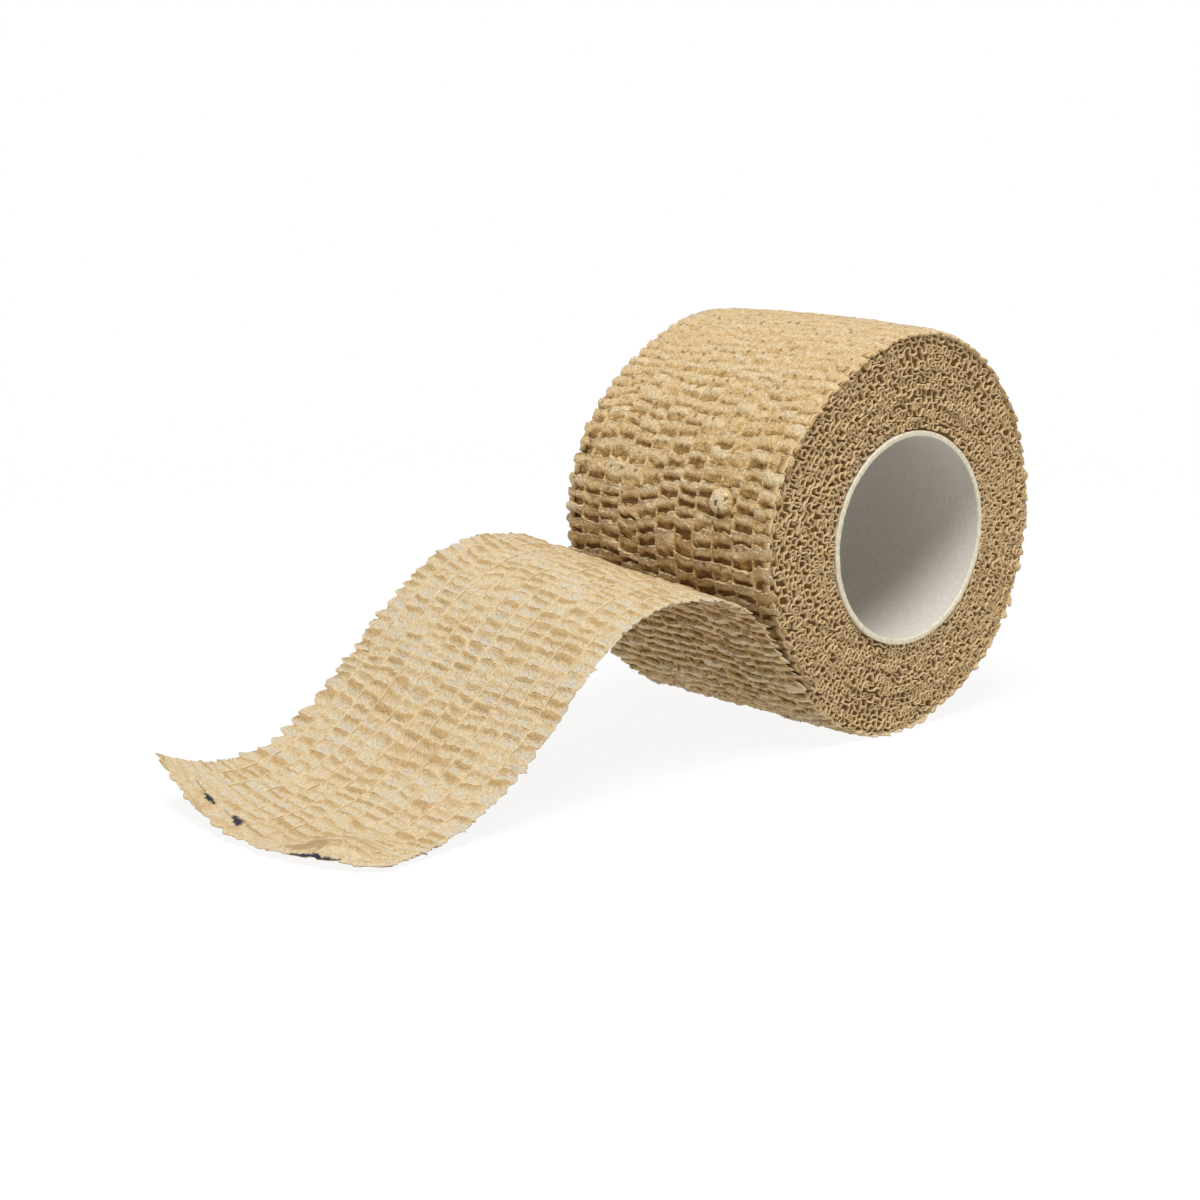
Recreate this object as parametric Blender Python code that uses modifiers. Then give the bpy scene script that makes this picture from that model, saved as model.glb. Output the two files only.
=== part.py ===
"""A roll of crinkled self-sticking bandage on a card tube, with its loose end arched down to the table.

Frame: Y is the roll's axis, Z is up, and the loose end lies towards -X. The origin is on the
table, under the roll's axis, halfway across the bandage. Sizes are in millimetres until a
mesh is made, and MM turns them into metres.
"""

import math

import bpy
import numpy as np

MM = 0.001

# The bandage: a 38 mm (1.5 inch) strip of crepe.
BANDAGE_WIDTH = 38.1
SHEET_THICKNESS = 1.0
CREPE_PITCH = 2.0
CREPE_DEPTH = 0.62
COLUMNS_PER_RIDGE = 3
PIECE_GAP = 0.3

# The tube that it is wound on.
TUBE_OUTER_RADIUS = 14.1
TUBE_WALL = 0.75
TUBE_SIDES = 96

# The roll stands on a flat spot, which the weight presses into its underside.
AXIS_HEIGHT = 25.8
FLAT_SPOT_FROM_DEG = 256.0
FLAT_SPOT_TO_DEG = 277.0
FLAT_SPOT_FADE_DEG = 4.0

# The outline of the wound bandage, which is thicker on the side of the loose end. The angle is
# counted from +X towards +Z, and goes once round from the line where the loose end leaves.
PEEL_DEG = 225.0
STEP_DEG = 0.7
ROLL_OUTLINE = (
    # angle_deg, radius
    (225.0, 26.7),
    (240.0, 26.8),
    (255.0, 26.6),
    (270.0, 26.3),
    (285.0, 25.4),
    (315.0, 24.0),
    (345.0, 23.2),
    (375.0, 24.0),
    (405.0, 25.6),
    (435.0, 27.3),
    (465.0, 27.1),
    (495.0, 26.3),
    (525.0, 26.5),
    (545.0, 26.3),
    (560.0, 25.25),
    (585.0, 24.85),
)

# Half of the roll's cross-section, from the bore's end to the middle of the outer wall. The
# radial share is 0 at the bore and 1 outside, and the width share is 1 at a side face.
ROLL_SECTION = (
    # radial_share, width_share, crepe_share
    (0.00, 0.990, 0.0),
    (0.38, 1.006, 0.0),
    (0.76, 0.992, 0.0),
    (0.975, 1.000, 0.3),
    (1.00, 0.968, 1.0),
    (1.00, 0.600, 1.0),
    (1.00, 0.220, 1.0),
)

# The loose end, as stations along its two edges. near is the edge towards -Y and far the one
# towards +Y. A curl above 1 keeps the width down on the table and bends only the far edge up.
LOOSE_END = (
    # near_x, near_z, far_x, far_z, shift_y, curl
    (-22.5, 12.3, -22.5, 12.4, 0.0, 1.0),
    (-25.9, 16.4, -25.8, 17.1, 0.0, 1.0),
    (-28.9, 19.6, -28.6, 21.3, 0.0, 1.0),
    (-32.9, 21.8, -32.6, 24.3, 0.0, 1.0),
    (-38.6, 23.0, -38.2, 25.7, 0.0, 1.0),
    (-44.8, 22.8, -44.7, 25.4, 0.0, 1.0),
    (-50.6, 20.4, -50.8, 23.1, 0.0, 1.0),
    (-56.5, 16.0, -57.1, 18.2, 0.0, 1.0),
    (-62.5, 10.5, -63.2, 12.5, 0.0, 1.0),
    (-68.9, 5.7, -69.3, 7.3, -0.1, 1.1),
    (-75.8, 2.1, -76.5, 3.9, -0.7, 1.5),
    (-83.0, 0.8, -84.0, 3.6, -1.7, 2.6),
    (-91.5, 0.7, -95.8, 7.6, -2.8, 5.0),
)

# How far the cut at its end falls short, across the width.
END_CUT = (
    # width_share, short_by
    (-1.00, 6.6),
    (-0.90, 3.9),
    (-0.72, 1.9),
    (-0.35, 0.0),
    (0.10, 0.6),
    (0.60, 2.2),
    (1.00, 3.2),
)
CUT_REACH = 16.0

# A small buckle that the cut end makes beside its near corner.
BUCKLE_HEIGHT = 1.1
BUCKLE_FROM_END = 4.5
BUCKLE_WIDTH_SHARE = -0.62
BUCKLE_LENGTH = 4.0
BUCKLE_BREADTH_SHARE = 0.2

SHEET_ROWS = 9
EDGE_TOOTH = 0.28
CREPE_FADE = 6.0

TAN_SRGB = (0.80, 0.66, 0.45)
CARD_SRGB = (0.90, 0.89, 0.85)


def clear_scene():
    """Removes what the start-up scene holds."""
    for old in list(bpy.data.objects):
        bpy.data.objects.remove(old, do_unlink=True)


def linear(srgb):
    """An sRGB colour as the linear one that a shader takes."""
    return tuple(c / 12.92 if c <= 0.04045 else ((c + 0.055) / 1.055) ** 2.4 for c in srgb)


def make_material(name, srgb, roughness):
    """A plain Principled BSDF of this colour and roughness."""
    material = bpy.data.materials.new(name)
    material.use_nodes = True
    shader = material.node_tree.nodes["Principled BSDF"]
    shader.inputs["Base Color"].default_value = (*linear(srgb), 1.0)
    shader.inputs["Roughness"].default_value = roughness
    shader.inputs["Metallic"].default_value = 0.0
    return material


def smooth_curve(at, knots, values):
    """A cubic through the values at the knots, with each knot's slope taken from its neighbours."""
    knots = np.asarray(knots, float)
    values = np.asarray(values, float)
    slopes = np.gradient(values, knots)
    span = np.clip(np.searchsorted(knots, at, side="right") - 1, 0, len(knots) - 2)
    width = knots[span + 1] - knots[span]
    t = (at - knots[span]) / width
    return (
        (1 + 2 * t) * (1 - t) ** 2 * values[span]
        + t * (1 - t) ** 2 * width * slopes[span]
        + t * t * (3 - 2 * t) * values[span + 1]
        + t * t * (t - 1) * width * slopes[span + 1]
    )


def smooth_step(t):
    """0 below 0, 1 above 1, and an S between."""
    t = np.clip(t, 0.0, 1.0)
    return t * t * (3 - 2 * t)


def ridge_drop(columns, rows, seed):
    """How far each point lies below the crest of its crepe ridge, as a share of the depth.

    A ridge is a valley, a crest and a shoulder, so it leans to one side. The heights of
    the crests are uneven along the strip and across it.
    """
    lean = np.array([1.0, 0.0, 0.42])
    uneven = np.random.default_rng(seed).uniform(0.0, 0.34, (columns, rows))
    profile = lean[np.arange(columns) % COLUMNS_PER_RIDGE]
    return np.clip(profile[:, None] + uneven * (1.2 - profile[:, None]), 0.0, 1.0)


def waver(along, across, reach):
    """How far a ridge strays along the strip from a straight line across it."""
    return reach * (
        0.6 * np.sin(1.9 * along + 2.3 * across)
        + 0.4 * np.sin(0.7 * along - 4.1 * across + 1.0)
    )


def mesh_object(name, mesh, material):
    """The object of this mesh, in the bandage's collection."""
    obj = bpy.data.objects.new(name, mesh)
    part_collection.objects.link(obj)
    mesh.materials.clear()
    mesh.materials.append(material)
    mesh.shade_smooth()
    mesh.set_sharp_from_angle(angle=math.radians(50))
    return obj


def take_mesh(obj):
    """The mesh of a primitive, which is taken off its object."""
    mesh = obj.data
    bpy.data.objects.remove(obj, do_unlink=True)
    return mesh


def place_points(mesh, points):
    """Puts the mesh's vertices at these points, given in millimetres."""
    mesh.vertices.foreach_set("co", (points * MM).astype(np.float32).ravel())
    mesh.update()


def make_core_tube():
    """The card tube: an open cylinder given its wall, turned so that its axis is Y."""
    bpy.ops.mesh.primitive_cylinder_add(
        vertices=TUBE_SIDES,
        radius=TUBE_OUTER_RADIUS * MM,
        depth=BANDAGE_WIDTH * MM,
        end_fill_type="NOTHING",
    )
    tube = mesh_object("core_tube", take_mesh(bpy.context.object), card)
    wall = tube.modifiers.new("Wall", "SOLIDIFY")
    wall.thickness = TUBE_WALL * MM
    wall.offset = -1.0
    wall.use_even_offset = True
    tube.rotation_euler = (math.radians(90), 0.0, 0.0)
    tube.location = (0.0, 0.0, AXIS_HEIGHT * MM)


def make_wound_roll():
    """The wound bandage: a ring whose section is ROLL_SECTION, swept round ROLL_OUTLINE.

    A torus primitive gives the ring of faces, and each of its points is placed by its
    column round the roll and its row round the section.
    """
    outline_deg, outline_radius = np.array(ROLL_OUTLINE).T
    round_length = 2 * math.pi * outline_radius.mean()
    columns = COLUMNS_PER_RIDGE * round(round_length / CREPE_PITCH)

    half = np.array(ROLL_SECTION)
    section = np.concatenate([half * (1, -1, 1), half[::-1]])
    radial_share, width_share, crepe_share = section.T
    rows = len(section)

    turn = np.linspace(PEEL_DEG, PEEL_DEG + 360.0 - STEP_DEG, columns)
    radius = smooth_curve(turn, outline_deg, outline_radius)

    pressed = smooth_step((turn - FLAT_SPOT_FROM_DEG) / FLAT_SPOT_FADE_DEG + 1)
    pressed *= smooth_step((FLAT_SPOT_TO_DEG - turn) / FLAT_SPOT_FADE_DEG + 1)
    under_loose_end = smooth_step((turn - 555.0) / 8.0)
    free = (1 - pressed) * (1 - under_loose_end)

    drop = ridge_drop(columns, rows, seed=11) * CREPE_DEPTH * free[:, None] * crepe_share
    bore_radius = TUBE_OUTER_RADIUS + PIECE_GAP
    reach = bore_radius + radial_share * (radius[:, None] - bore_radius) - drop

    stray_deg = waver(np.radians(turn)[:, None] * 4, width_share * 1.7, reach=1.1)
    ends_held = np.sin(math.pi * (turn - turn[0]) / (turn[-1] - turn[0])) ** 0.25
    angle = np.radians(turn[:, None] + stray_deg * crepe_share * ends_held[:, None])

    rim = 0.16 * np.sin(turn * 0.11)[:, None] + 0.12 * np.sin(turn * 0.37 + 1.0)[:, None]
    y = width_share * BANDAGE_WIDTH / 2 + rim * (1 - crepe_share) * np.sign(width_share)
    z = np.maximum(AXIS_HEIGHT + reach * np.sin(angle), 0.0)
    points = np.stack([reach * np.cos(angle), y, z], axis=-1)

    bpy.ops.mesh.primitive_torus_add(major_segments=columns, minor_segments=rows)
    mesh = take_mesh(bpy.context.object)
    place_points(mesh, points)
    mesh.flip_normals()
    return mesh_object("wound_roll", mesh, crepe)


def loose_end_surface(columns, across):
    """The middle of the loose end's sheet, as points by column along it and row across it.

    Both edges are smooth curves through the stations, and the sheet is stretched between
    them. It starts beside the roll's step, one sheet's half thickness under the outline.
    """
    start_angle = math.radians(PEEL_DEG - STEP_DEG - 0.75)
    start_radius = ROLL_OUTLINE[0][1] - SHEET_THICKNESS / 2
    start_x = start_radius * math.cos(start_angle)
    start_z = AXIS_HEIGHT + start_radius * math.sin(start_angle)
    stations = np.array([(start_x, start_z, start_x, start_z, 0.0, 1.0), *LOOSE_END])

    middle = (stations[:, 0:2] + stations[:, 2:4]) / 2
    steps = np.linalg.norm(np.diff(middle, axis=0), axis=1)
    length_at = np.concatenate([[0.0], np.cumsum(steps)])
    length = length_at[-1]

    cut_share, cut_short = np.array(END_CUT).T
    short = smooth_curve(across, cut_share, cut_short)
    along = np.linspace(0.0, length, columns)[:, None]
    near_end = smooth_step((along - (length - CUT_REACH)) / CUT_REACH)
    straying = smooth_step(along / CREPE_FADE) * smooth_step((length - along) / CREPE_FADE)
    place = along - short * near_end + waver(along * 0.16, across * 1.7, 0.45) * straying

    near_x, near_z, far_x, far_z, shift_y, curl = (
        smooth_curve(place, length_at, column) for column in stations.T
    )
    far_share = (across + 1) / 2
    x = near_x + (far_x - near_x) * far_share
    y = across * BANDAGE_WIDTH / 2 + shift_y
    z = near_z + (far_z - near_z) * far_share ** np.maximum(curl, 1.0)

    beside = (across - BUCKLE_WIDTH_SHARE) / BUCKLE_BREADTH_SHARE
    before_end = (length - short - place - BUCKLE_FROM_END) / BUCKLE_LENGTH
    z = z + BUCKLE_HEIGHT * np.exp(-(beside**2) - before_end**2)
    return np.stack(np.broadcast_arrays(x, y, z), axis=-1), along[:, 0], length


def make_loose_end():
    """The loose end: a grid laid on the surface above, crinkled along its own normals.

    Solidify gives it its thickness, and what would reach under the table is laid flat on it.
    """
    across = np.linspace(-1.0, 1.0, SHEET_ROWS)
    plain, along, length = loose_end_surface(200, across)
    columns = COLUMNS_PER_RIDGE * round(length / CREPE_PITCH)
    plain, along, length = loose_end_surface(columns, across)

    lengthwise = np.gradient(plain, axis=0)
    crosswise = np.gradient(plain, axis=1)
    normal = np.cross(lengthwise, crosswise)
    normal /= np.linalg.norm(normal, axis=-1, keepdims=True)
    fade = smooth_step(along / CREPE_FADE)[:, None]
    drop = ridge_drop(columns, SHEET_ROWS, seed=23)
    points = plain - normal * ((drop - 0.5) * CREPE_DEPTH * fade)[..., None]
    tooth = (0.5 - drop) * EDGE_TOOTH * fade
    points[:, 0, 1] -= tooth[:, 0]
    points[:, -1, 1] += tooth[:, -1]

    bpy.ops.mesh.primitive_grid_add(x_subdivisions=SHEET_ROWS - 1, y_subdivisions=columns - 1)
    mesh = take_mesh(bpy.context.object)
    place_points(mesh, points)
    sheet = mesh_object("loose_end_middle", mesh, crepe)
    thickness = sheet.modifiers.new("Thickness", "SOLIDIFY")
    thickness.thickness = SHEET_THICKNESS * MM
    thickness.offset = 0.0
    thickness.use_even_offset = True
    thickness.thickness_clamp = 0.5

    graph = bpy.context.evaluated_depsgraph_get()
    solid = bpy.data.meshes.new_from_object(sheet.evaluated_get(graph))
    bpy.data.objects.remove(sheet, do_unlink=True)
    solid_points = np.empty(len(solid.vertices) * 3, np.float32)
    solid.vertices.foreach_get("co", solid_points)
    solid_points = solid_points.reshape(-1, 3)
    solid_points[:, 2] = np.maximum(solid_points[:, 2], 0.0)
    solid.vertices.foreach_set("co", solid_points.ravel())
    solid.update()
    mesh_object("loose_end", solid, crepe)


clear_scene()
part_collection = bpy.data.collections.new("bandage_roll")
bpy.context.scene.collection.children.link(part_collection)
crepe = make_material("crepe", TAN_SRGB, 0.85)
card = make_material("card", CARD_SRGB, 0.55)
make_core_tube()
make_wound_roll()
make_loose_end()
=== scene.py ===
"""The looks of a cohesive bandage roll: crinkled tan crepe on a card tube, one end let down."""

import bpy
import numpy as np
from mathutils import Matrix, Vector


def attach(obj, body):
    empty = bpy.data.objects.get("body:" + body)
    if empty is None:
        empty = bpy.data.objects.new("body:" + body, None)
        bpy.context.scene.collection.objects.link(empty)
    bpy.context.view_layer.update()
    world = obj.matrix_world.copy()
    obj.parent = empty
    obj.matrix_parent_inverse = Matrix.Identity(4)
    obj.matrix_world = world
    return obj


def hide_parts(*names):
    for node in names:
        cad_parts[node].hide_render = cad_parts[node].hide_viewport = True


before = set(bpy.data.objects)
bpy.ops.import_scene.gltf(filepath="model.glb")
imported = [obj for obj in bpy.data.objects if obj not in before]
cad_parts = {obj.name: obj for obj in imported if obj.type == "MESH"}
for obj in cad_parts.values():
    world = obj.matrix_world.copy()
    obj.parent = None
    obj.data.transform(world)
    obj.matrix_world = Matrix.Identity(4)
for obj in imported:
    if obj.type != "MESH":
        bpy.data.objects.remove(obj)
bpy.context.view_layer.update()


# --- The view ---------------------------------------------------------------------------
# A white table and a white surround, lit from high in front by one soft lamp, with the
# camera low in front of the loose end. Sizes are millimetres, and MM makes them metres.

MM = 0.001
CAMERA_PLACE = Vector((-243.04, -233.23, 87.58))
CAMERA_AZIMUTH = -41.427
CAMERA_ELEVATION = 12.286
CAMERA_LENS = 75.4
SENSOR_WIDTH = 36.0
NEAREST_SEEN = 10.0

LAMP_AZIMUTH = -48.0
LAMP_ELEVATION = 66.0
LAMP_DISTANCE = 900.0
LAMP_TARGET = Vector((-20.0, 0.0, 15.0))
LAMP_WIDTH = 420.0
LAMP_WATTS = 7.2
SURROUND_LIGHT = 0.47
TABLE_LIGHT = 0.86
# The heights of a ray's direction between which one light gives way to the other.
HORIZON = (-0.3, 0.1)

TABLE_RADIUS = 300.0
TABLE_CENTRE = (-25.0, 0.0)
TABLE_DROP = 0.02
TABLE_COVER = 0.11
# The shares of its radius between which the table fades out.
TABLE_FADE = (0.35, 0.95)


def direction(azimuth, elevation):
    """The way towards a place at that azimuth, counted from -Y towards +X, and elevation."""
    azimuth, elevation = np.radians([azimuth, elevation])
    level = np.cos(elevation)
    return Vector((np.sin(azimuth) * level, -np.cos(azimuth) * level, np.sin(elevation)))


def aim(obj, place, target):
    """Puts the object at the place, in millimetres, and turns its -Z axis to the target."""
    obj.location = place * MM
    obj.rotation_euler = (target - place).to_track_quat("-Z", "Y").to_euler()
    bpy.context.scene.collection.objects.link(obj)


def linear(hex_colour):
    """An sRGB hex colour as the linear one, with an alpha of 1, that a shader takes."""
    srgb = np.array([int(hex_colour[i : i + 2], 16) for i in (1, 3, 5)]) / 255
    low = srgb <= 0.04045
    return (*np.where(low, srgb / 12.92, ((srgb + 0.055) / 1.055) ** 2.4), 1.0)


def add_node(tree, kind, inputs=None, **settings):
    """Adds a node, with its settings, and its inputs as values or as sockets to link."""
    node = tree.nodes.new(kind)
    for name, value in settings.items():
        setattr(node, name, value)
    for name, value in (inputs or {}).items():
        if isinstance(value, bpy.types.NodeSocket):
            tree.links.new(value, node.inputs[name])
        else:
            node.inputs[name].default_value = value
    return node


def calculate(tree, operation, *values):
    """Adds a maths node on the values, which may be sockets, and gives its result."""
    return add_node(tree, "ShaderNodeMath", dict(enumerate(values)), operation=operation).outputs[0]


def calculate_vector(tree, operation, *values):
    """Does the same with vectors, and gives both of the node's results: (vector, number)."""
    node = add_node(tree, "ShaderNodeVectorMath", dict(enumerate(values)), operation=operation)
    return node.outputs[0], node.outputs[1]


def remap(tree, value, start, stop, to_start=0.0, to_stop=1.0, **settings):
    """Adds a node that takes start..stop to to_start..to_stop, held at its ends."""
    inputs = {"Value": value, "From Min": start, "From Max": stop}
    inputs |= {"To Min": to_start, "To Max": to_stop}
    return add_node(tree, "ShaderNodeMapRange", inputs, **settings).outputs["Result"]


def mix_colours(tree, share, under, over, blend_type="MIX"):
    """Adds a node that lays one colour over another by that share, and gives the result."""
    inputs = {0: share, 6: under, 7: over}
    node = add_node(tree, "ShaderNodeMix", inputs, data_type="RGBA", blend_type=blend_type)
    return node.outputs[2]


def colour_ramp(tree, value, stops):
    """Adds a ramp of (place, hex colour) stops, in rising order, and gives its colour."""
    ramp = add_node(tree, "ShaderNodeValToRGB", {"Fac": value})
    elements = ramp.color_ramp.elements
    elements[0].position, elements[1].position = stops[0][0], stops[-1][0]
    for position, _ in stops[1:-1]:
        elements.new(position)
    for element, (_, colour) in zip(elements, stops):
        element.color = linear(colour)
    return ramp.outputs["Color"]


def object_noise(tree, size, detail):
    """Adds a noise on the object's own axes, with that size in millimetres, and gives it."""
    place = add_node(tree, "ShaderNodeTexCoord").outputs["Object"]
    inputs = {"Vector": place, "Scale": 1 / (size * MM), "Detail": detail}
    return add_node(tree, "ShaderNodeTexNoise", inputs).outputs["Fac"]


def new_material(name, **values):
    """A material whose shader takes those values: (material, its node tree, its shader)."""
    material = bpy.data.materials.new(name)
    material.use_nodes = True
    shader = material.node_tree.nodes["Principled BSDF"]
    for socket, value in values.items():
        shader.inputs[socket.replace("_", " ")].default_value = value
    return material, material.node_tree, shader


def emboss(tree, height, strength, depth):
    """Bumps the tree's shader by a height of 0 to 1 times the depth, in millimetres."""
    inputs = {"Height": height, "Strength": strength, "Distance": depth * MM}
    bump = add_node(tree, "ShaderNodeBump", inputs)
    tree.links.new(bump.outputs["Normal"], tree.nodes["Principled BSDF"].inputs["Normal"])


def grid_quads(columns, rows, closed=False, ring=False):
    """The corners of each quad of a grid whose points are numbered along its columns' rows.

    closed joins each column's last row to its first, and ring the last column to the first.
    """
    column = np.arange(columns if ring else columns - 1)[:, None]
    row = np.arange(rows if closed else rows - 1)[None, :]
    next_column, after = (column + 1) % columns, (row + 1) % rows
    corners = (column, row), (next_column, row), (next_column, after), (column, after)
    return np.stack([c * rows + r for c, r in corners], -1).reshape(-1, 4)


def together(*coordinates):
    """Coordinates that broadcast to one shape, as one array of points."""
    return np.stack(np.broadcast_arrays(*coordinates), -1)


def unit_map(columns, rows):
    """Where a grid's points go when it is spread evenly over the unit square."""
    margin = 0.002
    along = np.linspace(margin, 1 - margin, columns)[:, None]
    return together(along, np.linspace(margin, 1 - margin, rows)[None, :]).reshape(-1, 2)


def new_piece(name, points, quads, materials, fields=None, maps=None, slots=None):
    """A smooth piece from its points, in millimetres, and its quads.

    fields are numbers on its points, maps are UV maps given on its points, and slots is
    the place in materials that each quad takes its own from.
    """
    mesh = bpy.data.meshes.new(name)
    mesh.vertices.add(len(points))
    mesh.vertices.foreach_set("co", (points * MM).astype(np.float32).ravel())
    mesh.loops.add(quads.size)
    mesh.loops.foreach_set("vertex_index", quads.astype(np.int32).ravel())
    mesh.polygons.add(len(quads))
    mesh.polygons.foreach_set("loop_start", np.arange(0, quads.size, 4, dtype=np.int32))
    mesh.update(calc_edges=True)
    for field, values in (fields or {}).items():
        layer = mesh.attributes.new(field, "FLOAT", "POINT")
        layer.data.foreach_set("value", values.astype(np.float32).ravel())
    for uv_map, places in (maps or {}).items():
        layer = mesh.uv_layers.new(name=uv_map)
        layer.uv.foreach_set("vector", places[quads.ravel()].astype(np.float32).ravel())
    for material in materials:
        mesh.materials.append(material)
    if slots is not None:
        mesh.polygons.foreach_set("material_index", slots.astype(np.int32))
    mesh.shade_smooth()
    piece = bpy.data.objects.new(name, mesh)
    bpy.context.scene.collection.objects.link(piece)
    return piece


camera = bpy.data.objects.new("camera", bpy.data.cameras.new("camera"))
camera.data.lens = CAMERA_LENS
camera.data.sensor_width = SENSOR_WIDTH
camera.data.clip_start = NEAREST_SEEN * MM
aim(camera, CAMERA_PLACE, CAMERA_PLACE - direction(CAMERA_AZIMUTH, CAMERA_ELEVATION))
bpy.context.scene.camera = camera

lamp = bpy.data.objects.new("soft_lamp", bpy.data.lights.new("soft_lamp", "AREA"))
lamp.data.shape = "DISK"
lamp.data.size = LAMP_WIDTH * MM
lamp.data.energy = LAMP_WATTS
aim(lamp, direction(LAMP_AZIMUTH, LAMP_ELEVATION) * LAMP_DISTANCE, LAMP_TARGET)

# The surround lights the object at SURROUND_LIGHT, and at TABLE_LIGHT from below, as a big
# white table would. The lens sees it as plain white.
world = bpy.data.worlds.new("white_surround")
world.use_nodes = True
surround = world.node_tree
surround.nodes.clear()
rays = add_node(surround, "ShaderNodeLightPath")
way = add_node(surround, "ShaderNodeTexCoord")
up = add_node(surround, "ShaderNodeSeparateXYZ", {"Vector": way.outputs["Generated"]})
light = remap(surround, up.outputs["Z"], *HORIZON, TABLE_LIGHT, SURROUND_LIGHT)
strength = remap(surround, rays.outputs["Is Camera Ray"], 0.0, 1.0, light, 1.0)
inputs = {"Color": (1.0, 1.0, 1.0, 1.0), "Strength": strength}
glow = add_node(surround, "ShaderNodeBackground", inputs)
add_node(surround, "ShaderNodeOutputWorld", {"Surface": glow.outputs["Background"]})
bpy.context.scene.world = world
bpy.context.scene.view_settings.view_transform = "Standard"

# The table is a thin veil over the white surround, so that shadows on it stay faint, and it
# fades out around the object, so that it has no edge in the picture.
table_paint, table_tree, table_shader = new_material(
    "matt_white_table", Base_Color=linear("#FAFAFA"), Roughness=0.9, Specular_IOR_Level=0.1
)
table_place = add_node(table_tree, "ShaderNodeTexCoord").outputs["Object"]
table_middle = (*(c * MM for c in TABLE_CENTRE), 0.0)
_, from_centre = calculate_vector(table_tree, "DISTANCE", table_place, table_middle)
span = (TABLE_RADIUS * share * MM for share in TABLE_FADE)
fade = remap(
    table_tree, from_centre, *span, TABLE_COVER, 0.0, interpolation_type="SMOOTHSTEP"
)
table_tree.links.new(fade, table_shader.inputs["Alpha"])
table_x, table_y = np.meshgrid((-TABLE_RADIUS, TABLE_RADIUS), (-TABLE_RADIUS, TABLE_RADIUS))
table_points = np.stack([table_x.ravel(), table_y.ravel(), np.full(4, -TABLE_DROP)], -1)
table_points[:, :2] += TABLE_CENTRE
new_piece("table", table_points, np.array([[0, 1, 3, 2]]), [table_paint])


# --- The strip --------------------------------------------------------------------------
# The bandage is a thin non-woven web of short fibres with stretched rubber threads stuck
# lengthwise inside it. When the threads are let go they draw the web into cross ridges,
# cut into small pillows where the threads hold it. Natural latex makes it cling to itself.

STRIP_WIDTH = 38.1
CREPE_DEPTH = 0.8
RIDGE_PITCH = 2.0
THREAD_PITCH = 3.55
THREAD_COUNT = 10
THREAD_LINE = 0.13
THREAD_RISE = 0.68
THREAD_PINCH = (0.34, 0.26)  # reach, share of the rise that is lost
COLUMNS_MEET = 0.26
RIDGE_TABLE = 200

# One pillow across its ridge. Places and widths are shares of the pitch, once that is
# stretched so that the slit ends at 1/4 and begins at 3/4. Heights are shares of CREPE_DEPTH.
# A pair marked drawn is the least that a draw gives, and how much more it may give.
SLIT_LEAST = 0.04
SLIT_START = (0.12, 0.15)  # drawn
SLIT_STOP = (0.10, 0.15)  # drawn
SLIT_RAGGED = 0.10
GENTLE_FLANK = (0.22, 0.28)  # middle, width
STEEP_FLANK = (0.75, 0.08)  # middle, width
BRIM = (0.705, 0.05, 0.34)  # middle, reach, height
CREASE = (0.815, 0.055, 0.42)  # middle, reach, depth
CREST = (0.52, 0.46)  # drawn
CREST_DROP = 0.30
LEAN = 0.06
BOTTOM = (0.03, 0.34)  # drawn
SLIDE = 0.20
# The same slit from behind, where it is a fold.
FOLD_RISE = 0.14
FOLD_FALL = 0.50
FOLD_HEIGHT = (0.35, 0.65)  # drawn
FOLD_END = (0.50, 0.34)  # drawn

# How the rows of a mesh are spaced from one thread to the next, closest at the threads.
ROWS_IN_PITCH = np.array((0.0, 0.03, 0.08, 0.17, 0.30, 0.43, 0.57, 0.70, 0.83, 0.92, 0.97))

# The turn begins STEP_DEG short of the line where the loose end peels off.
AXIS_HEIGHT = 25.8
PEEL_DEG = 225.0
STEP_DEG = 0.7
ROLL_OUTLINE = (
    # angle_deg, radius
    (225.0, 26.7),
    (240.0, 26.8),
    (255.0, 26.7),
    (270.0, 26.0),
    (285.0, 25.2),
    (315.0, 24.4),
    (345.0, 23.7),
    (375.0, 24.3),
    (405.0, 25.9),
    (435.0, 27.3),
    (450.0, 27.2),
    (465.0, 26.6),
    (480.0, 26.1),
    (495.0, 26.1),
    (510.0, 26.5),
    (525.0, 26.7),
    (545.0, 26.4),
    (560.0, 25.8),
    (585.0, 25.6),
)


def smooth_step(t):
    """0 below 0, 1 above 1, and an S between."""
    t = np.clip(t, 0.0, 1.0)
    return t * t * (3 - 2 * t)


def hump(at, middle, reach):
    """A bell: 1 at the middle, and just over a third of that at reach on either side."""
    return np.exp(-(((at - middle) / reach) ** 2))


def at_edge(across, reach):
    """1 at the strip's far edge, and an S down to 0 at reach inside it.

    With -across it is the near edge's, and with the absolute value of across it is both's.
    """
    return smooth_step(1 - (STRIP_WIDTH / 2 - across) / reach)


def smooth_curve(at, knots, values):
    """A cubic through the values at the knots, with each knot's slope taken from its neighbours."""
    knots, values = np.asarray(knots, float), np.asarray(values, float)
    slopes = np.gradient(values, knots)
    span = np.clip(np.searchsorted(knots, at, side="right") - 1, 0, len(knots) - 2)
    width = knots[span + 1] - knots[span]
    t = (at - knots[span]) / width
    return (
        (1 + 2 * t) * (1 - t) ** 2 * values[span]
        + t * (1 - t) ** 2 * width * slopes[span]
        + t * t * (3 - 2 * t) * values[span + 1]
        + t * t * (t - 1) * width * slopes[span + 1]
    )


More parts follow.
